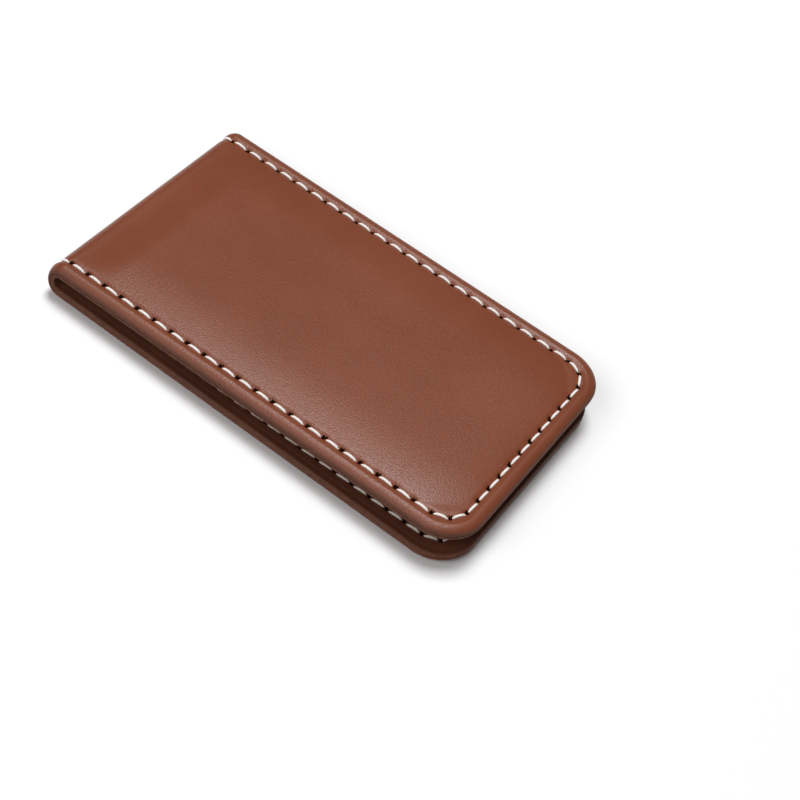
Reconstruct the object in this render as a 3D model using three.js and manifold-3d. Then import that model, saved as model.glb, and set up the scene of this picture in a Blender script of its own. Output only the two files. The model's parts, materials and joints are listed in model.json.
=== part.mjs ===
// A folded leather money clip that closes with magnets.
// One strip of leather and one strip of lining run from a lower leaf, round a fold, to an upper leaf.
// Each leaf holds a padding sheet, a stiffener board and two disc magnets between its two strips, and a
// lock stitch runs round it: the needle thread on the leather, the bobbin thread on the lining.
// Millimetres and degrees, +Z up. +X runs from the fold to the free ends and +Y across the clip.

import * as THREE from 'three';
import { mergeVertices } from 'three/addons/utils/BufferGeometryUtils.js';
import Module from 'manifold-3d';

const wasm = await Module();
wasm.setup();

// ---------------------------------------------------------------- driving sizes

const clipLength = 80;
const clipWidth = 47;
const cornerRadius = 7;
const noteGap = 1.35; // between the linings' raised middles, where the leaves leave the fold
const leafSpread = 1.2; // degrees between the leaves at rest

const leatherThickness = 1.1;
const liningThickness = 0.8;
const liningInset = 0.05; // the leather stands this far past the lining at the edges
const paddingThickness = 0.45;
const boardThickness = 0.5;
const magnetDiameter = 10;
const magnetThickness = 0.85;

const stitchInset = 2.7; // from the leather's edge to the stitch line
const needleThreadDiameter = 0.66;
const bobbinThreadDiameter = 0.5;

const coreInset = 5.1; // from the leather's edge to the board and padding
const coreSetback = 4.5; // from the fold's end to the board and padding
const coreCornerRadius = 2;
const magnetBorder = 1.6; // board left between a magnet's window and the board's end

const edgeRounding = 0.4; // on the strips' long sides and free ends
const rampWidth = 1.1; // of the slope from the stitched margin up to the raised middle

const layerClearance = 0.05; // glue line between two layers
const windowClearance = 0.3; // round a magnet
const coreClearance = 0.3; // round the board and padding, in their pocket
const threadClearance = 0.3; // round a thread, in its channel
const segmentGap = 0.3; // between the rigid pieces that stand for the strips at the fold

const foldSegments = ['lower', 'middle', 'upper'];

const cornerSteps = 4;
const foldSides = 48; // of the full circle
const roundingSteps = 2;
const magnetSides = 32;
const past = 5; // how far a cutting solid or an uncut strip runs past the cut

// ---------------------------------------------------------------- sizes worked out from them

const coreThickness = paddingThickness + boardThickness + 3 * layerClearance;
const stripThickness = leatherThickness + layerClearance + liningThickness;
const leafThickness = stripThickness + coreThickness - layerClearance;
const middleRise = (leafThickness - stripThickness) / 2; // of each raised middle over its margin

// Heights in a leaf, from the leather's raised middle (0) inwards to the lining's (leafThickness).
const leatherMarginFace = middleRise;
const leatherInnerFace = middleRise + leatherThickness;
const liningOuterFace = leatherInnerFace + layerClearance;
const liningMarginFace = liningOuterFace + liningThickness;
const pocketCeiling = leatherThickness;
const pocketFloor = leafThickness - liningThickness;

const foldHeight = leafThickness + noteGap / 2; // the fold's axis, over the lower leaf's outer face
const foldRadius = foldHeight - middleRise; // of the leather's outer face
const foldLeatherInner = foldRadius - leatherThickness;
const foldLiningOuter = foldLeatherInner - layerClearance;
const foldLiningInner = foldLiningOuter - liningThickness;
const foldReach = foldRadius + needleThreadDiameter / 2; // of the thread, which stands out past the leather
const foldX = -clipLength / 2 + foldReach;
const leafLength = clipLength - foldReach; // from the fold's end to the free end
const segmentAngle = (180 - leafSpread) / foldSegments.length;

const halfWidth = clipWidth / 2;
const stitchY = halfWidth - stitchInset;
const rampInset = stitchInset + needleThreadDiameter / 2 + threadClearance;

// ---------------------------------------------------------------- materials

function material(color, roughness, metalness = 0) {
  return new THREE.MeshStandardMaterial({ color, roughness, metalness });
}

const finishes = {
  leather: () => material(0x874e38, 0.48),
  lining: () => material(0x8c5335, 0.62),
  needleThread: () => material(0xe9e2d8, 0.75),
  bobbinThread: () => material(0xb9b1a6, 0.75),
  board: () => material(0xa8977c, 0.9),
  padding: () => material(0xd9d6cf, 0.95),
  magnet: () => material(0xb9b9bb, 0.25, 1),
};

// ---------------------------------------------------------------- solids

function solid(geometry) {
  const bare = geometry.clone();
  bare.deleteAttribute('normal');
  bare.deleteAttribute('uv');
  const welded = mergeVertices(bare, 1e-4);
  return new wasm.Manifold(new wasm.Mesh({
    numProp: 3,
    vertProperties: new Float32Array(welded.attributes.position.array),
    triVerts: new Uint32Array(welded.index.array),
  }));
}

function mesh(name, manifold, finish) {
  const data = manifold.getMesh();
  const geometry = new THREE.BufferGeometry();
  geometry.setAttribute('position', new THREE.BufferAttribute(data.vertProperties, 3));
  geometry.setIndex(new THREE.BufferAttribute(data.triVerts, 1));
  geometry.computeVertexNormals();
  const result = new THREE.Mesh(geometry, finish());
  result.name = name;
  return result;
}

// The shape extruded between two heights, its rims rounded over a width and a depth.
function extruded(shape, from, to, width = 0, depth = width) {
  const geometry = new THREE.ExtrudeGeometry(shape, {
    depth: to - from - 2 * depth,
    curveSegments: cornerSteps,
    bevelEnabled: width > 0,
    bevelSize: width,
    bevelOffset: -width,
    bevelThickness: depth,
    bevelSegments: roundingSteps,
  });
  geometry.translate(0, 0, from + depth);
  return geometry;
}

function slab(shape, from, to, width, depth) {
  return solid(extruded(shape, from, to, width, depth));
}

// ---------------------------------------------------------------- a leaf, flat
// x runs from the fold's end (0) to the free end, z from the leather's outer face inwards.

// The leaf's outline, moved in from its three free edges and starting at a given x.
function leafShape(inset, start, startRadius = 0) {
  const end = leafLength - inset;
  const side = halfWidth - inset;
  const radius = Math.max(cornerRadius - inset, coreCornerRadius);
  const shape = new THREE.Shape();
  shape.moveTo(start + startRadius, -side);
  shape.lineTo(end - radius, -side);
  shape.absarc(end - radius, -side + radius, radius, -Math.PI / 2, 0);
  shape.lineTo(end, side - radius);
  shape.absarc(end - radius, side - radius, radius, 0, Math.PI / 2);
  shape.lineTo(start + startRadius, side);
  if (startRadius > 0) {
    shape.absarc(start + startRadius, side - startRadius, startRadius, Math.PI / 2, Math.PI);
    shape.lineTo(start, -side + startRadius);
    shape.absarc(start + startRadius, -side + startRadius, startRadius, Math.PI, 1.5 * Math.PI);
  } else {
    shape.lineTo(start, -side);
  }
  shape.closePath();
  return shape;
}

// A band of the given half-width that follows the stitch line round the leaf's three free edges.
function stitchBand(reach) {
  const side = (inset) => leafShape(inset, -past).getPoints(cornerSteps).slice(0, -1);
  return new THREE.Shape([...side(stitchInset - reach), ...side(stitchInset + reach).reverse()]);
}

function stitchRun(reach, height) {
  const chamfer = reach * (1 - Math.SQRT1_2);
  return slab(stitchBand(reach), height - reach, height + reach, chamfer);
}

// What lies past the plane where a leaf meets the fold, leaving half the segment gap.
function foldSideOfLeaf() {
  const box = new THREE.BoxGeometry(3 * past, 2 * clipWidth, 4 * leafThickness);
  return solid(box.translate(segmentGap / 2 - 1.5 * past, 0, 0));
}

function corePocket(from, to) {
  return slab(leafShape(coreInset - coreClearance, coreSetback - coreClearance, coreCornerRadius), from, to);
}

function magnetCentres() {
  const boardEnd = leafLength - coreInset;
  const x = boardEnd - magnetBorder - windowClearance - magnetDiameter / 2;
  const y = (halfWidth - coreInset) / 2;
  return { front: [x, -y], rear: [x, y] };
}

function disc(centre, diameter, from, to) {
  const geometry = new THREE.CylinderGeometry(diameter / 2, diameter / 2, to - from, magnetSides);
  geometry.rotateX(Math.PI / 2);
  geometry.translate(centre[0], centre[1], (from + to) / 2);
  return solid(geometry);
}

function leafLeather() {
  const sheet = slab(leafShape(0, -past), leatherMarginFace, leatherInnerFace, edgeRounding);
  const middle = leafShape(rampInset, coreSetback - rampWidth - coreClearance, coreCornerRadius);
  const raised = slab(middle, 0, leatherInnerFace, rampWidth, middleRise);
  const channel = stitchRun(needleThreadDiameter / 2 + threadClearance, leatherMarginFace);
  return sheet.add(raised)
    .subtract(channel)
    .subtract(corePocket(pocketCeiling, leatherInnerFace + past))
    .subtract(foldSideOfLeaf());
}

function leafLining() {
  const sheet = slab(leafShape(liningInset, -past), liningOuterFace, liningMarginFace, edgeRounding * 0.75);
  const middle = leafShape(rampInset, coreSetback - rampWidth - coreClearance, coreCornerRadius);
  const raised = slab(middle, liningOuterFace, leafThickness, rampWidth, middleRise);
  const channel = stitchRun(bobbinThreadDiameter / 2 + threadClearance, liningMarginFace);
  return sheet.add(raised)
    .subtract(channel)
    .subtract(corePocket(liningOuterFace - past, pocketFloor))
    .subtract(foldSideOfLeaf());
}

function coreSheet(from, to) {
  const sheet = slab(leafShape(coreInset, coreSetback, coreCornerRadius), from, to);
  const windows = Object.values(magnetCentres())
    .map((centre) => disc(centre, magnetDiameter + 2 * windowClearance, from - past, to + past));
  return windows.reduce((rest, window) => rest.subtract(window), sheet);
}

function leafThread(diameter, height) {
  return stitchRun(diameter / 2, height).subtract(foldSideOfLeaf());
}

function leaf(name) {
  const paddingTop = pocketCeiling + layerClearance + paddingThickness;
  const boardBottom = paddingTop + layerClearance;
  const magnetMiddle = (pocketCeiling + pocketFloor) / 2;
  const magnets = Object.entries(magnetCentres()).map(([side, centre]) => mesh(
    `${name}_magnet_${side}`,
    disc(centre, magnetDiameter, magnetMiddle - magnetThickness / 2, magnetMiddle + magnetThickness / 2),
    finishes.magnet,
  ));
  const group = new THREE.Group();
  group.add(
    mesh(`${name}_outer_leather`, leafLeather(), finishes.leather),
    mesh(`${name}_lining`, leafLining(), finishes.lining),
    mesh(`${name}_padding`, coreSheet(pocketCeiling + layerClearance, paddingTop), finishes.padding),
    mesh(`${name}_stiffener_board`, coreSheet(boardBottom, boardBottom + boardThickness), finishes.board),
    ...magnets,
    mesh(`${name}_needle_thread`, leafThread(needleThreadDiameter, leatherMarginFace), finishes.needleThread),
    mesh(`${name}_bobbin_thread`, leafThread(bobbinThreadDiameter, liningMarginFace), finishes.bobbinThread),
  );
  return group;
}

// ---------------------------------------------------------------- the fold
// x and z are measured from the fold's axis, which runs along y.

// A ring round the fold's axis, between two radii and centred on a given y.
function foldRing(inner, outer, width, y, rounding) {
  const shape = new THREE.Shape();
  const hole = new THREE.Path();
  shape.absarc(0, 0, outer, 0, 2 * Math.PI);
  hole.absarc(0, 0, inner, 0, 2 * Math.PI, true);
  shape.holes.push(hole);
  const geometry = new THREE.ExtrudeGeometry(shape, {
    depth: width - 2 * rounding,
    curveSegments: foldSides / 2,
    bevelEnabled: true,
    bevelSize: rounding,
    bevelOffset: -rounding,
    bevelThickness: rounding,
    bevelSegments: roundingSteps,
  });
  geometry.translate(0, 0, rounding - width / 2);
  geometry.rotateX(Math.PI / 2);
  return solid(geometry.translate(0, y, 0));
}

function foldDirection(angle) {
  const radians = THREE.MathUtils.degToRad(angle);
  return new THREE.Vector2(-Math.sin(radians), -Math.cos(radians));
}

// The sector of the fold between two angles from straight down, less half a gap at each side.
function foldSector(index) {
  const start = foldDirection(index * segmentAngle);
  const end = foldDirection((index + 1) * segmentAngle);
  const halfAngle = THREE.MathUtils.degToRad(segmentAngle / 2);
  const tip = foldDirection((index + 0.5) * segmentAngle).multiplyScalar(segmentGap / 2 / Math.sin(halfAngle));
  const reach = 3 * foldRadius;
  const shape = new THREE.Shape([
    tip,
    tip.clone().addScaledVector(start, reach),
    tip.clone().addScaledVector(end, reach),
  ]);
  const geometry = new THREE.ExtrudeGeometry(shape, { depth: 2 * clipWidth, bevelEnabled: false });
  geometry.translate(0, 0, -clipWidth);
  return solid(geometry.rotateX(Math.PI / 2));
}

function foldThreadRing(radius, reach, y) {
  return foldRing(radius - reach, radius + reach, 2 * reach, y, reach * (1 - Math.SQRT1_2));
}

function foldSegment(name, index) {
  const sector = foldSector(index);
  const sides = { front: -stitchY, rear: stitchY };
  const threads = {
    needle_thread: { radius: foldRadius, diameter: needleThreadDiameter, finish: finishes.needleThread },
    bobbin_thread: { radius: foldLiningInner, diameter: bobbinThreadDiameter, finish: finishes.bobbinThread },
  };
  let leather = foldRing(foldLeatherInner, foldRadius, clipWidth, 0, edgeRounding);
  let lining = foldRing(foldLiningInner, foldLiningOuter, clipWidth - 2 * liningInset, 0, edgeRounding * 0.75);
  const group = new THREE.Group();
  for (const [thread, { radius, diameter, finish }] of Object.entries(threads)) {
    for (const [side, y] of Object.entries(sides)) {
      const channel = foldThreadRing(radius, diameter / 2 + threadClearance, y);
      leather = leather.subtract(channel);
      lining = lining.subtract(channel);
      const run = foldThreadRing(radius, diameter / 2, y).intersect(sector);
      group.add(mesh(`fold_${name}_${thread}_${side}`, run, finish));
    }
  }
  group.add(
    mesh(`fold_${name}_outer_leather`, leather.intersect(sector), finishes.leather),
    mesh(`fold_${name}_lining`, lining.intersect(sector), finishes.lining),
  );
  return group;
}

// ---------------------------------------------------------------- the whole clip

const moneyClip = new THREE.Group();

const lowerLeaf = leaf('lower');
lowerLeaf.position.set(foldX, 0, 0);

const fold = new THREE.Group();
fold.position.set(foldX, 0, foldHeight);
foldSegments.forEach((name, index) => fold.add(foldSegment(name, index)));

// The upper leaf is the lower one turned over, then opened by the spread about the fold's axis.
const upperLeafTurn = new THREE.Group();
upperLeafTurn.position.set(foldX, 0, foldHeight);
upperLeafTurn.rotation.y = -THREE.MathUtils.degToRad(leafSpread);
const upperLeaf = leaf('upper');
upperLeaf.position.set(0, 0, foldHeight);
upperLeaf.rotation.x = Math.PI;
upperLeafTurn.add(upperLeaf);

moneyClip.add(lowerLeaf, fold, upperLeafTurn);

export default moneyClip;
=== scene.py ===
"""A folded leather money clip that closes with magnets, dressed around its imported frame.

One strip of tan leather and one strip of lining run from the lower leaf, round a fold, to the upper
leaf. A lock stitch runs round each leaf's free edges and over the fold. Every surface is worked out
along the flat strip and then laid round the fold, so that leather, lining and thread bend as one.

Lengths are metres and angles radians. +X runs from the fold to the free ends, +Y across, +Z up.
A place on the strip is (along, across, depth): along is measured on the leather's outer face from the
line where the lower leaf meets the fold, and depth inwards from that face at the stitched margin.
"""
import json
import logging
import math
from collections.abc import Callable, Sequence
from dataclasses import dataclass, field
from enum import Enum

import bmesh
import bpy
import numpy as np
from mathutils import Matrix, Vector


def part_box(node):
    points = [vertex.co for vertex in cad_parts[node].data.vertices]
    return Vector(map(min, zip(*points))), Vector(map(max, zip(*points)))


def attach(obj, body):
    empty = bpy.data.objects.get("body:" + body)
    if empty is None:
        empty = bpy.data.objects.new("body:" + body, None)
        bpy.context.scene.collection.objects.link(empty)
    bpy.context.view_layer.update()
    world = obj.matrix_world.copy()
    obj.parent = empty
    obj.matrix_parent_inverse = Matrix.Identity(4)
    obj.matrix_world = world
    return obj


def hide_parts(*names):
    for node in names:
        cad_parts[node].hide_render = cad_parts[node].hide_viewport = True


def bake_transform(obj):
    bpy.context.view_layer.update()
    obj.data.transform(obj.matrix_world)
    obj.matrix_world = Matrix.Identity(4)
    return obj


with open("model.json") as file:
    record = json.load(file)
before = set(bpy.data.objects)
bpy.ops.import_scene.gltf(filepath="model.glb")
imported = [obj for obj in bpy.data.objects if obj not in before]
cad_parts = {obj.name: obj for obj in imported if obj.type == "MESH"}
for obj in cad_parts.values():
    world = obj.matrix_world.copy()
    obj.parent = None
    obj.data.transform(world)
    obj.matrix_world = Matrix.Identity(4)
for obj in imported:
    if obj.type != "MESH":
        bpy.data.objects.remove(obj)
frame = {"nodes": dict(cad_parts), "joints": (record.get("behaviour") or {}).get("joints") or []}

MM = 0.001
Array = np.ndarray
Triple = tuple[float, float, float]
Material = bpy.types.Material
Object = bpy.types.Object
log = logging.getLogger("money_clip")


# ---- sizes


@dataclass(frozen=True)
class ClipSizes:
    """The clip's sizes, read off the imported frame."""

    fold_x: float
    fold_height: float
    fold_radius: float
    segment_angle: float
    segments: int
    rise: float
    half_width: float
    leaf_length: float
    leather: float
    lining: float
    glue_line: float
    lining_inset: float
    stitch_inset: float
    needle_radius: float
    bobbin_radius: float
    corner_radius: float = 7 * MM

    @classmethod
    def from_frame(cls, joints: list[dict]) -> "ClipSizes":
        """Works the sizes out from the hinges and from the boxes of the lower leaf's nodes.

        The hinges lie on the leather's outer face, on a circle that touches the lower leaf at the
        first of them. A circle that touches a line and passes a point run along it and climb above
        it has the radius (run squared + climb squared) / (2 climb).

        Args:
            joints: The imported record's joints, from the lower leaf to the upper one.
        Returns:
            The sizes.
        """
        first, second = (Vector(joint["pos_m"]) for joint in joints[:2])
        run, climb = first.x - second.x, second.z - first.z
        radius = (run**2 + climb**2) / (2 * climb)
        _, leather_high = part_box("lower_outer_leather")
        lining_low, lining_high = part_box("lower_lining")
        needle_low, needle_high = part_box("lower_needle_thread")
        bobbin_low, bobbin_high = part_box("lower_bobbin_thread")
        needle_radius = (needle_high.z - needle_low.z) / 2
        lining_margin_face = (bobbin_high.z + bobbin_low.z) / 2
        return cls(
            fold_x=first.x,
            fold_height=first.z + radius,
            fold_radius=radius,
            segment_angle=math.atan2(run, radius - climb),
            segments=len(joints) - 1,
            rise=first.z,
            half_width=leather_high.y,
            leaf_length=leather_high.x - first.x,
            leather=leather_high.z - first.z,
            lining=lining_margin_face - lining_low.z,
            glue_line=lining_low.z - leather_high.z,
            lining_inset=leather_high.y - lining_high.y,
            stitch_inset=leather_high.y - needle_high.y + needle_radius,
            needle_radius=needle_radius,
            bobbin_radius=(bobbin_high.z - bobbin_low.z) / 2,
        )

    @property
    def fold_turn(self) -> float:
        """The angle that the strip turns through in the fold."""
        return self.segments * self.segment_angle

    @property
    def fold_stitch(self) -> float:
        """The length of one stitch on the fold: one rigid segment's arc on the outer face."""
        return self.fold_radius * self.segment_angle

    @property
    def fold_reach(self) -> float:
        """The fold's arc length on the outer face."""
        return self.fold_radius * self.fold_turn


class Leaf(Enum):
    """The two leaves, with the direction in which the strip runs from the fold to the free end."""

    LOWER = -1
    UPPER = 1

    @property
    def label(self) -> str:
        """The leaf's name in the frame's nodes and bodies."""
        return self.name.lower()


@dataclass(frozen=True)
class Strip:
    """The path of the strip: flat along the lower leaf, round the fold, flat along the upper leaf.

    Soft leather settles into a fold that is a little flatter than a half circle: along X the fold
    reaches out by its flatness times its radius.
    """

    sizes: ClipSizes
    flatness: float = 0.8

    def place(self, along: Array, across: Array, depth: Array) -> Array:
        """Lays points of the flat strip round the fold.

        The angle is the along length within the fold over the fold's radius. A point stands on that
        angle's radius, at the fold's radius less its depth from the axis, with its X drawn in by the
        flatness, and then goes on along the leaf by what is left of its along length.

        Args:
            along, across, depth: Places on the strip, as arrays that broadcast together.
        Returns:
            Points, with x, y and z in the last axis.
        """
        sizes = self.sizes
        bent = np.clip(along, 0, sizes.fold_reach)
        beyond = along - bent
        angle = bent / sizes.fold_radius
        radius = sizes.fold_radius - depth
        x = sizes.fold_x - self.flatness * radius * np.sin(angle) - beyond * np.cos(angle)
        z = sizes.fold_height - radius * np.cos(angle) + beyond * np.sin(angle)
        return np.stack(np.broadcast_arrays(x, across, z), axis=-1)

    def along(self, leaf: Leaf, from_fold: Array) -> Array:
        """Turns a distance from the fold towards a leaf's free end into an along length."""
        start = self.sizes.fold_reach if leaf is Leaf.UPPER else 0
        return start + leaf.value * from_fold

    def across_cut(self, angle: float) -> Vector:
        """The direction square to the fold's section at an angle from the lower leaf."""
        return Vector((-math.cos(angle), 0, self.flatness * math.sin(angle))).normalized()

    def point(self, angle: float, depth: float = 0.0) -> Vector:
        """A point of the strip's middle line in the fold, at an angle from the lower leaf."""
        along = np.array(angle * self.sizes.fold_radius)
        return Vector(self.place(along, np.array(0.0), np.array(depth)))


@dataclass(frozen=True)
class Seam:
    """The stitch line round a leaf's three free edges, counted in stitches.

    Stitch 0 is where the near side leaves the fold. The count runs along the near side, round the
    free end and back along the far side. Half a stitch more at each end lies on the fold.
    """

    sizes: ClipSizes
    side_stitch: float = 3.3 * MM
    end_stitch: float = 3.1 * MM
    hole_length: float = 0.5 * MM
    hole_width: float = 0.42 * MM
    hole_offset: float = 0.12 * MM

    @property
    def end_straight(self) -> float:
        """The free end between its two corners."""
        return 2 * (self.sizes.half_width - self.sizes.corner_radius)

    @property
    def corner_arc(self) -> float:
        """The stitch line's length round one corner."""
        return (self.sizes.corner_radius - self.sizes.stitch_inset) * math.pi / 2

    @property
    def side_count(self) -> int:
        """Stitches along one long side, from the fold to where the corner starts."""
        return round((self.sizes.leaf_length - self.sizes.corner_radius) / self.side_stitch)

    @property
    def end_count(self) -> int:
        """Stitches round the free end, corners and all."""
        return round((2 * self.corner_arc + self.end_straight) / self.end_stitch)

    @property
    def count(self) -> int:
        """Stitches round one leaf."""
        return 2 * self.side_count + self.end_count

    def outline(self, stitch: Array, inset: Array) -> tuple[Array, Array]:
        """Points of the leaf's outline, moved in from its free edges.

        The outline is a corner centre plus a radius turned from across to along. On the sides the
        centre slides from the fold to the corner, and on the end from one corner to the other. The
        radius shrinks as the outline moves in, down to a sharp corner.

        Args:
            stitch: How far round the seam, in stitches, from -0.5 to the count plus 0.5.
            inset: How far in from the edge.
        Returns:
            The distance from the fold and the place across, as arrays.
        """
        sizes, side = self.sizes, self.side_count
        radius = np.maximum(sizes.corner_radius - inset, 0)
        reach = sizes.leaf_length - inset - radius
        half = sizes.half_width - inset - radius
        on_fold = np.minimum(stitch, 0) - np.maximum(stitch - self.count, 0)
        share = np.clip(stitch / side, 0, 1) - np.clip((stitch - side - self.end_count) / side, 0, 1)
        end_length = 2 * self.corner_arc + self.end_straight
        run = np.clip(stitch - side, 0, self.end_count) * end_length / self.end_count
        past_corner = (run - self.corner_arc) / self.end_straight
        second_corner = (run - self.corner_arc - self.end_straight) / self.corner_arc
        turn = np.clip(run / self.corner_arc, 0, 1) + np.clip(second_corner, 0, 1) - 1
        angle = turn * math.pi / 2
        from_fold = on_fold * sizes.fold_stitch + share * reach + radius * np.cos(angle)
        across = (2 * np.clip(past_corner, 0, 1) - 1) * half + radius * np.sin(angle)
        return from_fold, across

    def hole(self, stitch: Array, inset: Array) -> Array:
        """How near a point is to a stitch hole: a bell curve, 1 in the hole and 0 away from it."""
        along = (stitch - np.round(stitch)) * self.side_stitch
        centre = self.sizes.stitch_inset + self.hole_offset
        return bell(0, self.hole_length, along) * bell(centre, self.hole_width, inset)


def ease(low: float, high: float, value: Array) -> Array:
    """A smooth step from 0 at low to 1 at high: 3 t squared - 2 t cubed."""
    share = np.clip((value - low) / (high - low), 0, 1)
    return share * share * (3 - 2 * share)


def bell(centre: float, width: float, value: Array) -> Array:
    """A bell curve of height 1: e to the minus square of the distance over the width."""
    return np.exp(-(((value - centre) / width) ** 2))


def graded(start: float, *stretches: tuple[float, int]) -> Array:
    """One row of values from a start on, in stretches that each go to a value in so many even steps."""
    rows = []
    for stop, steps in stretches:
        rows.append(np.linspace(start, stop, steps, endpoint=False))
        start = stop
    return np.concatenate([*rows, [start]])


# ---- meshes


@dataclass
class Surface:
    """A grid of points that becomes one closed piece, with its seam map and its wear."""

    points: Array
    seam: Array
    wear: Array
    wraps: bool = False

    def to_object(self, name: str) -> Object:
        """Makes the piece: quads between neighbours of the grid, doubles merged, open ends filled.

        Args:
            name: The piece's name.
        Returns:
            The new object, linked to the scene.
        """
        rows, columns = self.points.shape[:2]
        number = np.arange(rows * columns).reshape(rows, columns)
        if self.wraps:
            number = np.concatenate([number, number[:, :1]], axis=1)
        corners = [number[:-1, :-1], number[:-1, 1:], number[1:, 1:], number[1:, :-1]]
        faces = np.stack(corners, axis=-1).reshape(-1, 4)
        mesh = bpy.data.meshes.new(name)
        mesh.from_pydata(self.points.reshape(-1, 3), [], faces.tolist())
        layer = mesh.uv_layers.new(name="seam")
        layer.data.foreach_set("uv", self.seam.reshape(-1, 2)[faces.ravel()].ravel().astype(np.float32))
        attribute = mesh.attributes.new("wear", "FLOAT", "POINT")
        attribute.data.foreach_set("value", self.wear.ravel().astype(np.float32))
        close_shell(mesh)
        return link(name, mesh)


def close_shell(mesh: bpy.types.Mesh, doubles: float = 1e-6, crease: float = 42.0) -> None:
    """Merges doubles, fills open ends, points faces outwards and shades all but creases smooth.

    Args:
        mesh: The mesh, changed in place.
        doubles: Points nearer than this are one point.
        crease: Edges sharper than this many degrees stay sharp.
    """
    shell = bmesh.new()
    shell.from_mesh(mesh)
    bmesh.ops.remove_doubles(shell, verts=shell.verts, dist=doubles)
    bmesh.ops.holes_fill(shell, edges=[edge for edge in shell.edges if edge.is_boundary], sides=0)
    bmesh.ops.recalc_face_normals(shell, faces=shell.faces)
    shell.to_mesh(mesh)
    shell.free()
    mesh.polygons.foreach_set("use_smooth", np.ones(len(mesh.polygons), bool))
    mesh.set_sharp_from_angle(angle=math.radians(crease))
    mesh.update()


def link(name: str, data: bpy.types.ID) -> Object:
    """Makes an object of some data and links it to the scene."""
    made = bpy.data.objects.new(name, data)
    bpy.context.scene.collection.objects.link(made)
    return made


# ---- layers


@dataclass(frozen=True)
class Rim:
    """A rounded edge: how far it reaches in from the side and how far the face drops there."""

    width: float
    drop: float

    def section(self, turn: Array) -> Array:
        """The edge's quarter ellipse: rows of its insets, its drops and its wear.

        The inset is the width times one less the sine of the turn, and the drop goes with one less
        the cosine. The wear is the sine cubed: most where the edge sticks out furthest.
        """
        return np.stack([
            self.width * (1 - np.sin(turn)), self.drop * (1 - np.cos(turn)), np.sin(turn) ** 3,
        ])


@dataclass(frozen=True)
class Spots:
    """Where the points of a grid lie on the clip: arrays that broadcast together.

    Each has its inset from the edge, its stitch in the seam's count, its distance from the fold and
    its place across. The leaf is None in the fold.
    """

    inset: Array
    stitch: Array
    from_fold: Array
    across: Array
    leaf: Leaf | None = None


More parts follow.
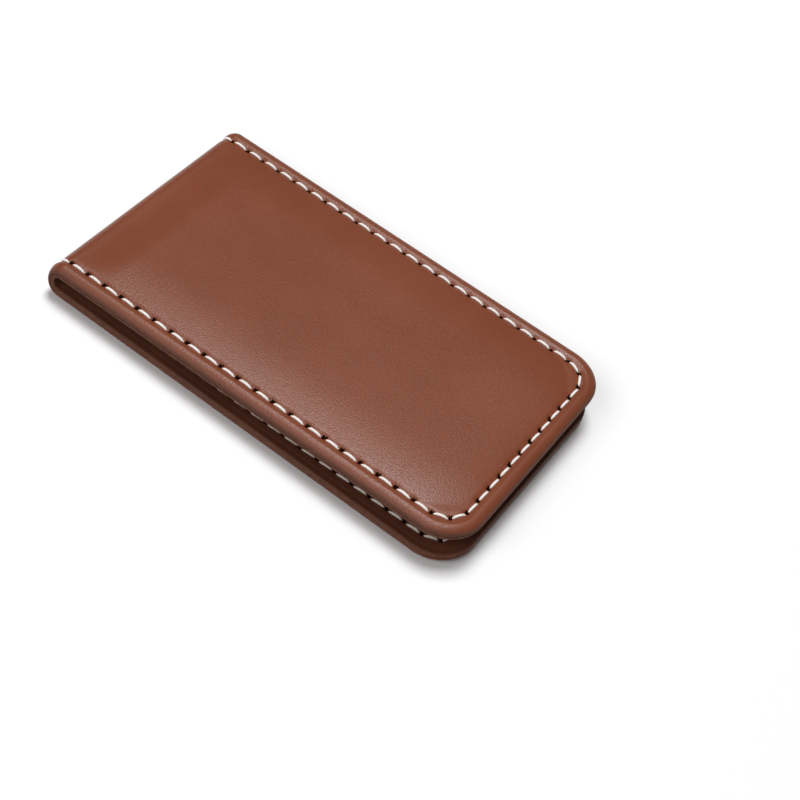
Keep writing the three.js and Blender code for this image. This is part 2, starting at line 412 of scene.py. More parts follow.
@dataclass(frozen=True)
class Layer:
    """One strip of the clip, leather or lining, as a closed shell with two faces and a rim.

    A subclass gives the relief of the two faces. Relief is a height towards the clip's outside.
    """

    sizes: ClipSizes
    seam: Seam
    strip: Strip
    inset: float
    top: float
    thickness: float
    outer_rim: Rim
    inner_rim: Rim
    columns_per_stitch: int = 12
    fold_columns: int = 18
    rim_steps: int = 8
    face_grades: tuple[tuple[float, int], ...] = ((8 * MM, 12), (4.2 * MM, 12), (1.6 * MM, 22))
    margin_steps: int = 7
    underside_grades: tuple[tuple[float, int], ...] = ((1.8 * MM, 7), (4.6 * MM, 16))
    middle_steps: int = 10
    pocket_wall: tuple[float, float] = (3.4 * MM, 4.7 * MM)
    pocket_end: tuple[float, float] = (2.9 * MM, 4.1 * MM)

    def reliefs(self, spots: Spots) -> tuple[Array, Array]:
        """The relief of the outer face and of the inner one."""
        raise NotImplementedError

    def pocket(self, spots: Spots) -> Array:
        """The depth of this layer's half of the pocket that holds the padding, board and magnets."""
        wall = ease(*self.pocket_wall, spots.inset)
        return self.sizes.rise * wall * ease(*self.pocket_end, spots.from_fold)

    def profile(self) -> tuple[Array, Array, Array, Array]:
        """The half section from the outer face's middle, round both rims, to the inner face's middle.

        Returns:
            Inset, drop, wear and whether a point is on the inner face, each as a column.
        """
        middle = self.sizes.half_width
        outer_start, inner_start = self.inset + self.outer_rim.width, self.inset + self.inner_rim.width
        face = graded(middle, *self.face_grades, (outer_start, self.margin_steps))
        underside = graded(inner_start, *self.underside_grades, (middle, self.middle_steps))
        turn = np.linspace(0, math.pi / 2, self.rim_steps + 1)[1:]
        rims = np.hstack([self.outer_rim.section(turn), self.inner_rim.section(turn[::-1])])
        rims[0] += self.inset
        inset, drop, wear = np.hstack([
            [face, 0 * face, 0 * face], rims, [underside, 0 * underside, 0 * underside],
        ])
        inner_side = np.arange(len(inset)) >= len(face) + len(turn)
        return inset[:, None], drop[:, None], wear[:, None], inner_side[:, None]

    def surface(self, section: Sequence[Array], spots: Spots, along: Array, side: int | Array,
                wraps: bool = False) -> Surface:
        """Lays the section's two faces and rims round the fold.

        A point's depth is its face's less the relief, drawn inwards by the rim's drop. The seam map
        is the stitch with its side's sign, and the inset in millimetres.

        Args:
            section: Inset, drop, wear and whether a point is on the inner face.
            spots: Where the grid's points lie on the clip.
            along: Their along lengths on the strip.
            side: The sign of their stitches in the seam map.
            wraps: Whether the grid's last column meets its first.
        Returns:
            The surface.
        """
        inset, drop, wear, inner_side = section
        outer, inner = self.reliefs(spots)
        depth = np.where(inner_side, self.top + self.thickness - inner - drop, self.top - outer + drop)
        points = self.strip.place(along, spots.across, depth)
        seam = np.stack(np.broadcast_arrays(side * spots.stitch, inset / MM), axis=-1)
        return Surface(points, seam, np.broadcast_to(wear, depth.shape), wraps)

    def leaf_piece(self, leaf: Leaf, name: str) -> Object:
        """The layer of one leaf, up to the middle of the fold's nearest segment.

        The grid's rows are the leaf's outline moved in by the profile's insets, and its columns run
        round the seam. The near and far halves meet along the leaf's middle line.

        Args:
            leaf: Which leaf.
            name: The piece's name.
        Returns:
            The new object.
        """
        section = self.profile()
        count = self.seam.count
        stitch = graded(
            -0.5, (0, self.fold_columns), (count, count * self.columns_per_stitch),
            (count + 0.5, self.fold_columns),
        )[None, :]
        from_fold, across = self.seam.outline(stitch, section[0])
        spots = Spots(section[0], stitch, from_fold, across, leaf)
        along = self.strip.along(leaf, from_fold)
        return self.surface(section, spots, along, leaf.value).to_object(name)

    def fold_piece(self, segment: int, name: str) -> Object:
        """The layer from the middle of one fold segment to the middle of the next.

        The grid's columns go round the whole section, near half and far half, and its rows follow the
        fold from cut to cut.

        Args:
            segment: The segment that the piece starts in.
            name: The piece's name.
        Returns:
            The new object.
        """
        half = self.profile()
        section = [np.concatenate([part[:, 0], part[-2:0:-1, 0]])[None, :] for part in half]
        side = np.where(np.arange(section[0].size) < len(half[0]), -1, 1)[None, :]
        stitch = np.linspace(segment + 0.5, segment + 1.5, 2 * self.fold_columns + 1)[:, None]
        across = side * (self.sizes.half_width - section[0]) + 0 * stitch
        spots = Spots(section[0], stitch, 0 * across, across)
        along = stitch * self.sizes.fold_stitch
        return self.surface(section, spots, along, -side, wraps=True).to_object(name)


@dataclass(frozen=True)
class OuterLeather(Layer):
    """The outer leather: a rolled edge, a stitch valley and a softly padded middle."""

    roll: float = 0.15 * MM
    roll_inset: float = 1.6 * MM
    roll_width: float = 0.75 * MM
    valley: float = 0.17 * MM
    valley_width: float = 0.7 * MM
    hole_depth: float = 0.3 * MM
    puff: float = 0.82 * MM
    puff_reach: float = 9.5 * MM
    puff_corner: float = 13 * MM
    puff_power: float = 2.2
    pressed: float = 0.95
    pressed_ramp: tuple[float, float] = (2.75 * MM, 6.4 * MM)
    seam_fade: tuple[float, float] = (2.5 * MM, 3.5 * MM)
    fold_fade: tuple[float, float] = (0.6 * MM, 7.5 * MM)

    def reliefs(self, spots: Spots) -> tuple[Array, Array]:
        """Outside, the rolled edge, stitch valley, holes and padded middle. Inside, the pocket.

        The lower leaf's middle is pressed flat by what it lies on: it rises in one smooth step. The
        upper leaf's puffs up: it climbs steeply from the seam and levels out, as one less a power of
        what is left of its reach. Both fade out at the fold.
        """
        sizes, inset = self.sizes, spots.inset
        edge = self.roll * bell(self.roll_inset, self.roll_width, inset)
        valley = self.valley * bell(sizes.stitch_inset, self.valley_width, inset)
        holes = self.hole_depth * self.seam.hole(spots.stitch, inset)
        if spots.leaf is Leaf.UPPER:
            left = 1 - self.inside(spots) / self.puff_reach
            cushion = self.puff * (1 - np.clip(left, 0, 1) ** self.puff_power)
        else:
            cushion = self.pressed * sizes.rise * ease(*self.pressed_ramp, inset)
        cushion = cushion * ease(*self.seam_fade, inset) * ease(*self.fold_fade, spots.from_fold)
        return edge - valley - holes + cushion, self.pocket(spots)

    def inside(self, spots: Spots) -> Array:
        """How far inside the seam a point lies, with the corners rounded more than the leaf's own.

        It is the corner radius less the length of what remains of that radius to the side and end.
        """
        sizes, radius = self.sizes, self.puff_corner
        to_side = np.maximum(radius - (sizes.half_width - np.abs(spots.across)), 0)
        to_end = np.maximum(radius - (sizes.leaf_length - spots.from_fold), 0)
        return radius - np.hypot(to_side, to_end) - sizes.stitch_inset


@dataclass(frozen=True)
class Lining(Layer):
    """The lining: a creased border, a shallow stitch valley and a middle that rises over the board."""

    crease: float = 0.09 * MM
    crease_inset: float = 1.05 * MM
    crease_width: float = 0.13 * MM
    valley: float = 0.08 * MM
    valley_width: float = 0.6 * MM
    hole_depth: float = 0.16 * MM
    ramp: tuple[float, float] = (2.75 * MM, 5.2 * MM)
    fold_fade: tuple[float, float] = (0.6 * MM, 5 * MM)

    def reliefs(self, spots: Spots) -> tuple[Array, Array]:
        """Outside, the pocket. Inside, the crease, valley, holes and middle that stands into the slot."""
        sizes, inset = self.sizes, spots.inset
        crease = self.crease * bell(self.crease_inset, self.crease_width, inset)
        valley = self.valley * bell(sizes.stitch_inset, self.valley_width, inset)
        holes = self.hole_depth * self.seam.hole(spots.stitch, inset)
        middle = sizes.rise * ease(*self.ramp, inset) * ease(*self.fold_fade, spots.from_fold)
        return -self.pocket(spots), crease + valley + holes - middle


# ---- stitches


@dataclass(frozen=True)
class Stitching:
    """One thread of the lock stitch: short arched tubes, each from hole to hole on a slight slant."""

    sizes: ClipSizes
    seam: Seam
    strip: Strip
    radius: float
    face: float
    outwards: int
    crest: float
    sink: float = 0.55 * MM
    slant: float = 0.1 * MM
    taper: float = 0.3
    sides: int = 8
    stations: tuple[float, ...] = (0.11, 0.17, 0.29, 0.5, 0.71, 0.83, 0.89)

    def tubes(self, along: Array, across: Array) -> tuple[Array, Array]:
        """The points of every stitch's tube.

        The middle line runs straight on the flat strip from one hole towards the next. Its height over
        the face is minus the sink at its ends and the crest in the middle, and between them goes with
        one less the fourth power of the distance from the middle. The tube's ring stands square to it
        and thins towards its ends.

        Args:
            along, across: The two holes of each stitch, as arrays of stitches by two.
        Returns:
            Points of stitches by stations by sides, and how far along its stitch, in millimetres,
            each station lies.
        """
        share = np.array(self.stations)[None, :]
        middle_along, middle_across = (
            holes[:, :1] + (holes[:, 1:] - holes[:, :1]) * share for holes in (along, across)
        )
        from_middle = np.abs(2 * share - 1) / (1 - 2 * self.stations[0])
        height = self.crest - (self.crest + self.sink) * from_middle**4
        depth = self.face - self.outwards * height + 0 * middle_along
        line = self.strip.place(middle_along, middle_across, depth)
        above = self.strip.place(middle_along, middle_across, depth - self.outwards * 0.1 * MM)
        tangent = unit(np.gradient(line, axis=1))
        sideways = unit(np.cross(tangent, above - line))
        upwards = np.cross(sideways, tangent)
        turn = np.arange(self.sides) * 2 * math.pi / self.sides
        thickness = self.radius * (1 - self.taper * from_middle**3)[..., None, None]
        ring = sideways[:, :, None] * np.cos(turn)[:, None] + upwards[:, :, None] * np.sin(turn)[:, None]
        points = line[:, :, None] + thickness * ring
        steps = np.linalg.norm(np.diff(line, axis=1), axis=-1)
        travelled = np.concatenate([np.zeros_like(steps[:, :1]), np.cumsum(steps, axis=1)], axis=1) / MM
        return points, travelled

    def piece(self, name: str, along: Array, across: Array) -> Object:
        """Makes one piece of a row of stitches.

        Args:
            name: The piece's name.
            along, across: The two holes of each stitch, as arrays of stitches by two.
        Returns:
            The new object.
        """
        points, travelled = self.tubes(along, across)
        stitches, stations, sides = points.shape[:3]
        number = np.arange(points[..., 0].size).reshape(stitches, stations, sides)
        turned = np.roll(number, -1, axis=2)
        corners = [number[:, :-1], number[:, 1:], turned[:, 1:], turned[:, :-1]]
        quads = np.stack(corners, axis=-1).reshape(-1, 4)
        ends = np.concatenate([number[:, 0], number[:, -1]])
        turn = np.arange(sides + 1) / sides
        u = np.broadcast_to(travelled[:, :, None], (stitches, stations, sides))
        u = np.stack([u[:, :-1], u[:, 1:], u[:, 1:], u[:, :-1]], axis=-1)
        v = np.stack([turn[:-1], turn[:-1], turn[1:], turn[1:]], axis=-1)
        seam = np.stack(np.broadcast_arrays(u, v[None, None]), axis=-1).reshape(-1, 2)
        seam = np.concatenate([seam, np.zeros((ends.size, 2))])
        mesh = bpy.data.meshes.new(name)
        mesh.from_pydata(points.reshape(-1, 3), [], quads.tolist() + ends.tolist())
        mesh.uv_layers.new(name="seam").data.foreach_set("uv", seam.ravel().astype(np.float32))
        close_shell(mesh, crease=70)
        return link(name, mesh)

    def leaf_piece(self, leaf: Leaf, name: str) -> Object:
        """The stitches round one leaf."""
        first = np.arange(self.seam.count)[:, None]
        stitch = np.concatenate([first, first + 1], axis=1)
        slant = leaf.value * self.slant * np.array([[1, -1]])
        from_fold, across = self.seam.outline(stitch, self.sizes.stitch_inset + slant)
        return self.piece(name, self.strip.along(leaf, from_fold), across)

    def fold_piece(self, segment: int, name: str) -> Object:
        """The two stitches, near and far, that lie on one segment of the fold."""
        holes = np.array([[segment, segment + 1]] * 2) * self.sizes.fold_stitch
        slant = self.slant * np.array([[1, -1], [-1, 1]])
        side = np.array([[-1], [1]])
        across = side * (self.sizes.half_width - self.sizes.stitch_inset - slant)
        return self.piece(name, holes, across)


def unit(vectors: Array) -> Array:
    """Vectors over their own lengths."""
    return vectors / np.linalg.norm(vectors, axis=-1, keepdims=True)


# ---- finishes


def math_node(operation: str, swapped: bool = False) -> Callable[..., "Value"]:
    """Makes a method of Value that adds a Math node.

    Args:
        operation: The node's operation.
        swapped: Whether the value comes after the others, as in a number less the value.
    Returns:
        The method, which takes the operation's other values.
    """
    def method(self: "Value", *others: "Value | float") -> "Value":
        values = (*others, self) if swapped else (self, *others)
        return self.shader.node("ShaderNodeMath", {"operation": operation}, dict(enumerate(values)))

    return method


@dataclass(frozen=True)
class Value:
    """An output socket of a material's nodes that takes part in arithmetic."""

    shader: "Shader"
    socket: bpy.types.NodeSocket

    __add__ = __radd__ = math_node("ADD")
    __sub__ = math_node("SUBTRACT")
    __rsub__ = math_node("SUBTRACT", swapped=True)
    __mul__ = math_node("MULTIPLY")
    __truediv__ = math_node("DIVIDE")
    __pow__ = math_node("POWER")
    sine = math_node("SINE")
    rounded = math_node("ROUND")

    def between(self, low: float, high: float) -> "Value":
        """A smooth step from 0 at low to 1 at high. With low above high it runs the other way."""
        settings = {"interpolation_type": "SMOOTHSTEP", "clamp": True}
        if low > high:
            return 1 - self.between(high, low)
        return self.shader.node("ShaderNodeMapRange", settings, {"Value": self, 1: low, 2: high})


class Shader:
    """A material under construction: its node tree and the few things every finish asks of it."""

    def __init__(self, name: str) -> None:
        """Makes an empty material."""
        self.material = bpy.data.materials.new(name)
        self.material.use_nodes = True
        self.tree = self.material.node_tree
        self.tree.nodes.clear()
        self.place = self.node("ShaderNodeTexCoord", {}, {}, "Object")

    def node(self, kind: str, settings: dict, inputs: dict, output: str | int = 0) -> Value:
        """Adds one node.

        Args:
            kind: The node's type.
            settings: Attributes of the node, set before its sockets.
            inputs: What each input socket, by name or number, is set or linked to.
            output: The output socket that is wanted.
        Returns:
            That output.
        """
        made = self.tree.nodes.new(kind)
        for key, setting in settings.items():
            setattr(made, key, setting)
        for key, source in inputs.items():
            if isinstance(source, Value):
                self.tree.links.new(source.socket, made.inputs[key])
            else:
                made.inputs[key].default_value = source
        return Value(self, made.outputs[output])

    def noise(self, scale: float, detail: float = 2.0, roughness: float = 0.5,
              at: Value | None = None, distortion: float = 0.0) -> Value:
        """Noise from 0 to 1, its scale in features to the metre."""
        sockets = {"Vector": at or self.place, "Scale": scale, "Detail": detail, "Roughness": roughness}
        return self.node("ShaderNodeTexNoise", {}, {**sockets, "Distortion": distortion})

    def cells(self, scale: float) -> Value:
        """The distance to the nearest of many scattered points, softly joined."""
        sockets = {"Vector": self.place, "Scale": scale, "Smoothness": 0.35}
        return self.node("ShaderNodeTexVoronoi", {"feature": "SMOOTH_F1"}, sockets, "Distance")

    def stretched(self, scale: Triple) -> Value:
        """The place on the piece with each axis scaled by itself."""
        return self.node("ShaderNodeMapping", {}, {"Vector": self.place, "Scale": scale})

    def attribute(self, name: str) -> Value:
        """A number that the piece carries at its points."""
        return self.node("ShaderNodeAttribute", {"attribute_name": name}, {}, "Fac")

    def seam(self) -> tuple[Value, Value]:
        """The two parts of the piece's seam map."""
        both = {"Vector": self.node("ShaderNodeUVMap", {"uv_map": "seam"}, {})}
        return tuple(self.node("ShaderNodeSeparateXYZ", {}, both, axis) for axis in "XY")

    def mix(self, share: Value | float, first: Value | Triple, second: Value | Triple) -> Value:
        """A colour between two others."""
        settings = {"data_type": "RGBA", "blend_type": "MIX", "clamp_factor": True}
        colours = [
            colour if isinstance(colour, Value) else (*colour, 1.0) for colour in (first, second)
        ]
        return self.node("ShaderNodeMix", settings, {0: share, 6: colours[0], 7: colours[1]}, 2)

    def finish(self, colour: Value, roughness: Value | float, bumps: list[tuple[Value, float]],
               **others: Value | float) -> Material:
        """Joins colour, roughness and bumps to the shader.

        Args:
            colour: The base colour.
            roughness: The roughness.
            bumps: Heights from 0 to 1, each with its real height in metres, coarse ones first.
            others: Other sockets of the shader, with underscores for spaces.
        Returns:
            The finished material.
        """
        sockets = {key.replace("_", " "): value for key, value in others.items()}
        normal = {}
        for height, distance in bumps:
            inputs = {"Height": height, "Distance": distance, "Strength": 1.0, **normal}
            normal = {"Normal": self.node("ShaderNodeBump", {}, inputs)}
        sockets = {"Base Color": colour, "Roughness": roughness, **normal, **sockets}
        surface = self.node("ShaderNodeBsdfPrincipled", {}, sockets)
        output = self.tree.nodes.new("ShaderNodeOutputMaterial")
        self.tree.links.new(surface.socket, output.inputs["Surface"])
        return self.material


@dataclass(frozen=True)
class GrainLeather:
    """Smooth dyed leather with a fine pebble grain, burnished edges and painted shade in its stitch
    holes.
    """

    name: str
    colour: Triple = (0.196, 0.050, 0.019)
    shade: Triple = (0.158, 0.038, 0.013)
    edge: Triple = (0.125, 0.037, 0.013)
    edge_shade: Triple = (0.042, 0.014, 0.007)
    # near-black colour painted as shade in the stitch holes
    hole_shade_colour: Triple = (0.006, 0.003, 0.002)
    fleck_colour: Triple = (0.33, 0.13, 0.07)
    roughness: float = 0.33
    shine: float = 0.38
    grain: float = 5000
    grain_height: float = 0.032 * MM
    crease_height: float = 0.016 * MM
    fleck_height: float = 0.010 * MM
    fibre_height: float = 0.02 * MM
    stitch: float = 3.3
    stitch_inset: float = 2.7
    wander: float = 0.5
    ragged: float = 1.6
    hole: tuple[float, float] = (0.31, 0.34)
    hole_offset: float = 0.10
    cuts: tuple[Triple, ...] = ((0.62, 0.30, 0.21), (-0.20, 0.26, 0.20))
    cut_offset: float = 0.32
    cut_spread: float = 0.42

    def hole_shade(self, shader: Shader) -> Value:
        """The painted shade in the pulled holes the stitches pass through: 1 in a hole and 0 away from
        it.

        Each is three ellipses round a whole number of the seam map: the hole itself and two short cuts
        that run from it towards the leaf's middle, leaning to either side. A cut is its lean in radians
        and its half length and half width. These and the other lengths here are in millimetres. One
        noise makes the holes wander along the seam and another makes their edges ragged.
        """
        along, inset = shader.seam()
        along = (along - along.rounded()) * self.stitch
        inwards = inset - self.stitch_inset
        along = along + (shader.noise(420, 1) - 0.5) * self.wander
        broken = (shader.noise(3600, 2) - 0.5) * self.ragged
        length, width = self.hole
        mark = (along / length) ** 2 + ((inwards - self.hole_offset) / width) ** 2 + broken
        mark = mark.between(1.3, 0.5)
        for lean, length, width in self.cuts:
            outer, inner = inwards - self.cut_offset, along - lean * self.cut_spread
            down = outer * math.cos(lean) + inner * math.sin(lean)
            beside = inner * math.cos(lean) - outer * math.sin(lean)
            cut = ((down / length) ** 2 + (beside / width) ** 2 + broken).between(1.4, 0.3)
            mark = mark + cut - mark * cut
        return mark

    def build(self) -> Material:
        """Builds the material."""
        shader = Shader(self.name)
        wear = shader.attribute("wear")
        warped = shader.noise(1800, 2)
        pebbles = shader.cells(self.grain)
        flecks = shader.noise(9000, 3, 0.6)
        creases = shader.noise(1400, 4, 0.6, distortion=0.8)
        clouds = shader.noise(70, 3, 0.55)
        pores = (pebbles + (warped - 0.5) * 0.25).between(0.42, 0.72)
        colour = shader.mix(clouds.between(0.32, 0.72) * 0.5 + 0.5, self.shade, self.colour)
        colour = shader.mix(pores * 0.2, colour, self.shade)
        colour = shader.mix(flecks.between(0.5, 0.85) * 0.10, colour, self.fleck_colour)
        fibres = shader.noise(1.0, 4, 0.7, at=shader.stretched((900, 900, 5200)))
        burnish = shader.mix(fibres.between(0.3, 0.75), self.edge_shade, self.edge)
        colour = shader.mix(wear * 0.85, colour, burnish)
        hole_shade = self.hole_shade(shader)
        # painted shade: the stitch holes are darkened to near black
        colour = shader.mix(hole_shade * 0.97, colour, self.hole_shade_colour)
        roughness = self.roughness + pores * 0.08 + (clouds - 0.5) * 0.10 + wear * 0.3 + hole_shade * 0.4
        bumps = [
            (creases, self.crease_height),
            (1 - pebbles, self.grain_height),
            (flecks, self.fleck_height),
            (fibres * wear, self.fibre_height),
        ]
        # Metallic also follows the painted hole shade, which takes the diffuse light out of the holes
        return shader.finish(colour, roughness, bumps, Metallic=hole_shade, Specular_IOR_Level=self.shine)


@dataclass(frozen=True)
class TwistedThread:
    """Bonded off-white sewing thread of a few plies, laid up in a twist."""

    name: str
    colour: Triple
    shade: Triple
    plies: int = 3
    lay: float = 2.4
    twist_height: float = 0.018 * MM
    fibre_height: float = 0.012 * MM

    def build(self) -> Material:
        """Builds the material.

        The plies are a wave in the turn round the thread plus the way along it over the lay.
        """
        shader = Shader(self.name)
        along, turn = shader.seam()
        wave = ((along / self.lay + turn) * (2 * math.pi * self.plies)).sine() * 0.5 + 0.5
        fibres = shader.noise(9000, 2, 0.6)
        # painted shade: the grooves between the plies are darkened towards the shade colour
        groove_shade = wave.between(0.42, 0.05)
        colour = shader.mix(groove_shade * 0.28, self.colour, self.shade)
        colour = shader.mix(fibres.between(0.5, 0.85) * 0.12, colour, self.shade)
        bumps = [(wave.between(0.0, 0.7), self.twist_height), (fibres, self.fibre_height)]
        return shader.finish(colour, 0.62 + fibres * 0.2, bumps, Sheen_Weight=0.15, Sheen_Roughness=0.5)


@dataclass(frozen=True)
class Felt:
    """Thin pressed felt."""

    name: str = "padding_felt"
    colour: Triple = (0.69, 0.67, 0.62)
    shade: Triple = (0.50, 0.48, 0.43)
    fibre_height: float = 0.08 * MM

    def build(self) -> Material:
        """Builds the material."""
        shader = Shader(self.name)
        fibres = shader.noise(2600, 5, 0.7, distortion=2.5)
        colour = shader.mix(fibres.between(0.35, 0.7), self.shade, self.colour)
        bumps = [(fibres, self.fibre_height)]
        return shader.finish(colour, 0.95, bumps, Sheen_Weight=0.3, Sheen_Roughness=0.6)


@dataclass(frozen=True)
class Leatherboard:
    """Grey-brown board of pressed leather fibre."""

    name: str = "leatherboard"
    colour: Triple = (0.39, 0.31, 0.20)
    shade: Triple = (0.22, 0.16, 0.10)
    fleck_height: float = 0.03 * MM

    def build(self) -> Material:
        """Builds the material."""
        shader = Shader(self.name)
        flecks = shader.noise(1.0, 4, 0.65, at=shader.stretched((900, 2600, 2600)), distortion=1.0)
        clouds = shader.noise(120, 3)
        colour = shader.mix(flecks.between(0.35, 0.7), self.shade, self.colour)
        colour = shader.mix(clouds.between(0.4, 0.7) * 0.25, colour, self.shade)
        return shader.finish(colour, 0.86 + (clouds - 0.5) * 0.1, [(flecks, self.fleck_height)])


@dataclass(frozen=True)
class NickelPlate:
    """Bright nickel plating with fine tumbling marks."""

    name: str = "nickel_plate"
    colour: Triple = (0.62, 0.61, 0.59)
    shade: Triple = (0.48, 0.46, 0.43)
    mark_height: float = 0.004 * MM

    def build(self) -> Material:
        """Builds the material."""
        shader = Shader(self.name)
        marks = shader.noise(3500, 4, 0.6)
        clouds = shader.noise(350, 3)
        colour = shader.mix(clouds.between(0.35, 0.7), self.shade, self.colour)
        roughness = 0.2 + clouds.between(0.4, 0.75) * 0.12 + marks * 0.06
        return shader.finish(colour, roughness, [(marks, self.mark_height)], Metallic=1.0)


@dataclass(frozen=True)
class TableTop:
    """Plain pale card that the clip lies on."""

    name: str = "pale_card"
    colour: Triple = (0.90, 0.90, 0.905)
    shade: Triple = (0.82, 0.82, 0.83)

    def build(self) -> Material:
        """Builds the material."""
        shader = Shader(self.name)
        colour = shader.mix(shader.noise(40, 3) * 0.05, self.colour, self.shade)
        return shader.finish(colour, 0.85, [])


def build_finishes() -> dict[str, Material]:
    """Builds every finish on the clip once, by the part that has it."""
    finishes = {
        "outer_leather": GrainLeather("tan_leather"),
        "lining": GrainLeather(
            "lining_leather", colour=(0.130, 0.040, 0.019), shade=(0.085, 0.025, 0.012),
            edge=(0.190, 0.070, 0.032), roughness=0.55, grain=3600, grain_height=0.02 * MM,
        ),
        "needle_thread": TwistedThread("needle_thread", (0.90, 0.87, 0.84), (0.58, 0.52, 0.48)),
        "bobbin_thread": TwistedThread("bobbin_thread", (0.80, 0.75, 0.68), (0.46, 0.40, 0.34)),
        "padding": Felt(),
        "stiffener_board": Leatherboard(),
        "magnet": NickelPlate(),
    }
    return {part: finish.build() for part, finish in finishes.items()}


# ---- the assembly


@dataclass
class MoneyClip:
    """The whole clip: two strips and two threads, each in pieces; the threads' pieces ride with the
    frame.
    """

    sizes: ClipSizes
    finishes: dict[str, Material]
    strip: Strip = field(init=False)
    seam: Seam = field(init=False)
    segment_names: tuple[str, ...] = ("lower", "middle", "upper")
    blend_share: float = 0.98
    needle_share: float = 0.7
    needle_face: float = 0.16 * MM
    needle_crest: float = 0.13 * MM
    bobbin_share: float = 0.9
    bobbin_crest: float = 0.04 * MM

    def __post_init__(self) -> None:
        """Works out the strip's path and the seam."""
        self.strip = Strip(self.sizes)
        self.seam = Seam(self.sizes)

    def build(self) -> list[Object]:
        """Builds every new piece and dresses the nodes that stay.

        Returns:
            The new pieces.
        """
        pieces = [*self.build_leather(), *self.build_lining(), *self.build_threads()]
        self.dress_core()
        return pieces

    def build_leather(self) -> list[Object]:
        """The outer leather's four pieces."""
        layer = OuterLeather(
            self.sizes, self.seam, self.strip, inset=0.0, top=0.0, thickness=self.sizes.leather,
            outer_rim=Rim(1.45 * MM, 0.86 * MM), inner_rim=Rim(0.28 * MM, 0.24 * MM),
        )
        pieces = self.build_layer(layer, "outer_leather")
        return pieces

    def build_lining(self) -> list[Object]:
        """The lining's four pieces."""
        layer = Lining(
            self.sizes, self.seam, self.strip, inset=self.sizes.lining_inset,
            top=self.sizes.leather + self.sizes.glue_line, thickness=self.sizes.lining,
            outer_rim=Rim(0.26 * MM, 0.2 * MM), inner_rim=Rim(0.3 * MM, 0.36 * MM),
        )
        return self.build_layer(layer, "lining")

    def build_layer(self, layer: Layer, part: str) -> list[Object]:
        """Builds one layer's two leaves and two fold pieces.

        Every cut lies in the middle of a rigid segment of the fold.

        Args:
            layer: The layer.
            part: The layer's name in the frame's nodes and among the finishes.
        Returns:
            The pieces, leaves first.
        """
        names = self.segment_names
        half = self.sizes.segment_angle / 2
        reach = 2 * self.sizes.fold_radius * math.sin(half)
        innermost = layer.top + layer.thickness
        cuts = (Leaf.LOWER, half, names[0]), (Leaf.UPPER, self.sizes.fold_turn - half, names[-1])
        pieces = []
        for leaf, angle, neighbour in cuts:
            piece = layer.leaf_piece(leaf, f"{leaf.label}_leaf_{part}")
            cut = self.strip.point(angle)
            past = cut + leaf.value * reach * self.strip.across_cut(angle)
            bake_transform(piece)
            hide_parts(f"{leaf.label}_{part}")
            pieces.append(piece)
        for index, (first, second) in enumerate(zip(names, names[1:])):
            piece = layer.fold_piece(index, f"fold_{part}_{first}_to_{second}")
            angle = (index + 1) * self.sizes.segment_angle
            hinge, onwards = self.strip.point(angle), self.strip.across_cut(angle)
            before, after = (
                self.blend_share * abs((self.strip.point(end, innermost) - hinge).dot(onwards)) * onwards
                for end in (angle - half, angle + half)
            )
            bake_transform(piece)
            replaced = (first, second) if index == 0 else (second,)
            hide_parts(*(f"fold_{name}_{part}" for name in replaced))
            pieces.append(piece)
        for piece in pieces:
            self.dress(piece, self.finishes[part])
        return pieces

    def build_threads(self) -> list[Object]:
        """Both threads, a piece for each body of the frame that they are sewn to.

        Pulled down into the leather, each shows a share of its own radius.
        """
        sizes = self.sizes
        lining_face = sizes.leather + sizes.glue_line + sizes.lining
        threads = {
            "needle_thread": Stitching(
                sizes, self.seam, self.strip, radius=self.needle_share * sizes.needle_radius,
                face=self.needle_face, outwards=1, crest=self.needle_crest,
            ),
            "bobbin_thread": Stitching(
                sizes, self.seam, self.strip, radius=self.bobbin_share * sizes.bobbin_radius,
                face=lining_face, outwards=-1, crest=self.bobbin_crest,
            ),
        }
        pieces = []
        for thread, stitching in threads.items():
            finish = self.finishes[thread]
            for leaf in Leaf:
                piece = stitching.leaf_piece(leaf, f"{leaf.label}_leaf_{thread}")
                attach(piece, f"{leaf.label}_leaf")
                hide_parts(f"{leaf.label}_{thread}")
                pieces.append(self.dress(piece, finish))
            for index, segment in enumerate(self.segment_names):
                piece = stitching.fold_piece(index, f"fold_{segment}_{thread}")
                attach(piece, f"fold_{segment}")
                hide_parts(*(f"fold_{segment}_{thread}_{side}" for side in ("front", "rear")))
                pieces.append(self.dress(piece, finish))
        return pieces

    def dress(self, piece: Object, finish: Material) -> Object:
        """Gives a new piece its material."""
        piece.data.materials.append(finish)
        return piece

    def dress_core(self) -> None:
        """Gives the nodes that stay inside each leaf their materials."""
        core = {part: part for part in ("padding", "stiffener_board")}
        core.update({f"magnet_{side}": "magnet" for side in ("front", "rear")})
        for leaf in Leaf:
            for part, finish in core.items():
                for material_slot in frame["nodes"][f"{leaf.label}_{part}"].material_slots:
                    material_slot.material = self.finishes[finish]


# ---- the stage


@dataclass(frozen=True)
class SoftLight:
    """A rectangular studio light that points at the clip."""

    name: str
    place: Triple
    size: tuple[float, float]
    power: float

    def build(self) -> Object:
        """Makes the light."""
        data = bpy.data.lights.new(self.name, "AREA")
        data.shape = "RECTANGLE"
        data.size, data.size_y = self.size
        data.energy = self.power
        lamp = link(self.name, data)
        lamp.location = self.place
        lamp.rotation_euler = (-Vector(self.place)).to_track_quat("-Z", "Y").to_euler()
        return lamp


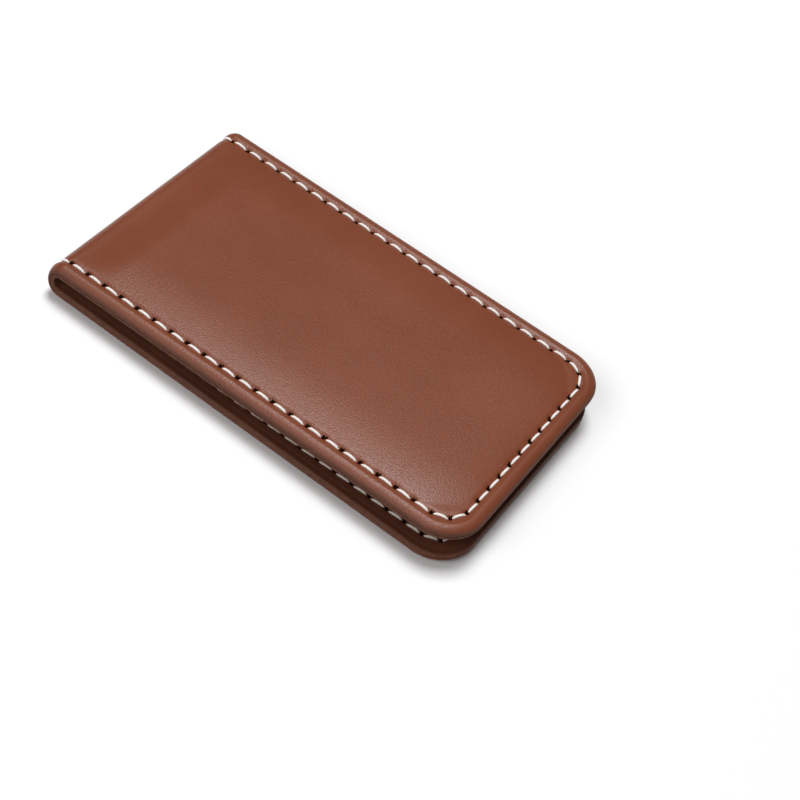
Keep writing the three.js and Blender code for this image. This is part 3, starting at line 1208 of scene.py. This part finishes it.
@dataclass(frozen=True)
class Studio:
    """The pale table, the soft lights and the camera."""

    target: Triple = (16.6 * MM, -3.9 * MM, 5.0 * MM)
    elevation: float = math.radians(48.75)
    azimuth: float = math.radians(-18.4)
    roll: float = math.radians(-20.9)
    distance: float = 271 * MM
    lens: float = 77.7
    table_side: float = 6.0
    lights: tuple[SoftLight, ...] = (
        SoftLight("overhead", (-0.160, 0.190, 1.174), (0.42, 0.42), 11.6),
        SoftLight("front", (-0.3, -1.1, 1.1), (0.9, 0.6), 9.0),
    )
    sky: float = 0.15

    def build(self) -> None:
        """Builds all of it."""
        self.build_table()
        for light in self.lights:
            light.build()
        self.build_sky()
        self.build_camera()

    def build_table(self) -> None:
        """A wide sheet at the clip's lowest point."""
        half = self.table_side / 2
        corners = [(-half, -half, 0), (half, -half, 0), (half, half, 0), (-half, half, 0)]
        mesh = bpy.data.meshes.new("table")
        mesh.from_pydata(corners, [], [(0, 1, 2, 3)])
        mesh.materials.append(TableTop().build())
        link("table", mesh)

    def build_sky(self) -> None:
        """Even white light from all round."""
        world = bpy.data.worlds.new("soft_sky")
        world.use_nodes = True
        background = world.node_tree.nodes["Background"]
        background.inputs["Color"].default_value = (1, 1, 1, 1)
        background.inputs["Strength"].default_value = self.sky
        bpy.context.scene.world = world

    def build_camera(self) -> None:
        """The camera, turned to its azimuth and elevation and then rolled about its view."""
        level = math.cos(self.elevation)
        view = Vector((
            level * math.sin(self.azimuth), level * math.cos(self.azimuth), -math.sin(self.elevation),
        ))
        right = view.cross(Vector((0, 0, 1))).normalized()
        down = view.cross(right)
        right = right * math.cos(self.roll) + down * math.sin(self.roll)
        up = right.cross(view)
        data = bpy.data.cameras.new("camera")
        data.lens = self.lens
        camera = link("camera", data)
        turn = Matrix((right, up, -view)).transposed().to_4x4()
        camera.matrix_world = Matrix.Translation(Vector(self.target) - view * self.distance) @ turn
        scene = bpy.context.scene
        scene.camera = camera
        scene.view_settings.view_transform = "Standard"


def main() -> None:
    """Builds the clip and its stage."""
    logging.basicConfig(level=logging.INFO, format="%(message)s")
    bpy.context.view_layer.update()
    clip = MoneyClip(ClipSizes.from_frame(frame["joints"]), build_finishes())
    log.info("%s", clip.sizes)
    for piece in clip.build():
        log.info("%s: %d faces", piece.name, len(piece.data.polygons))
    Studio().build()


if __name__ == "__main__":
    main()
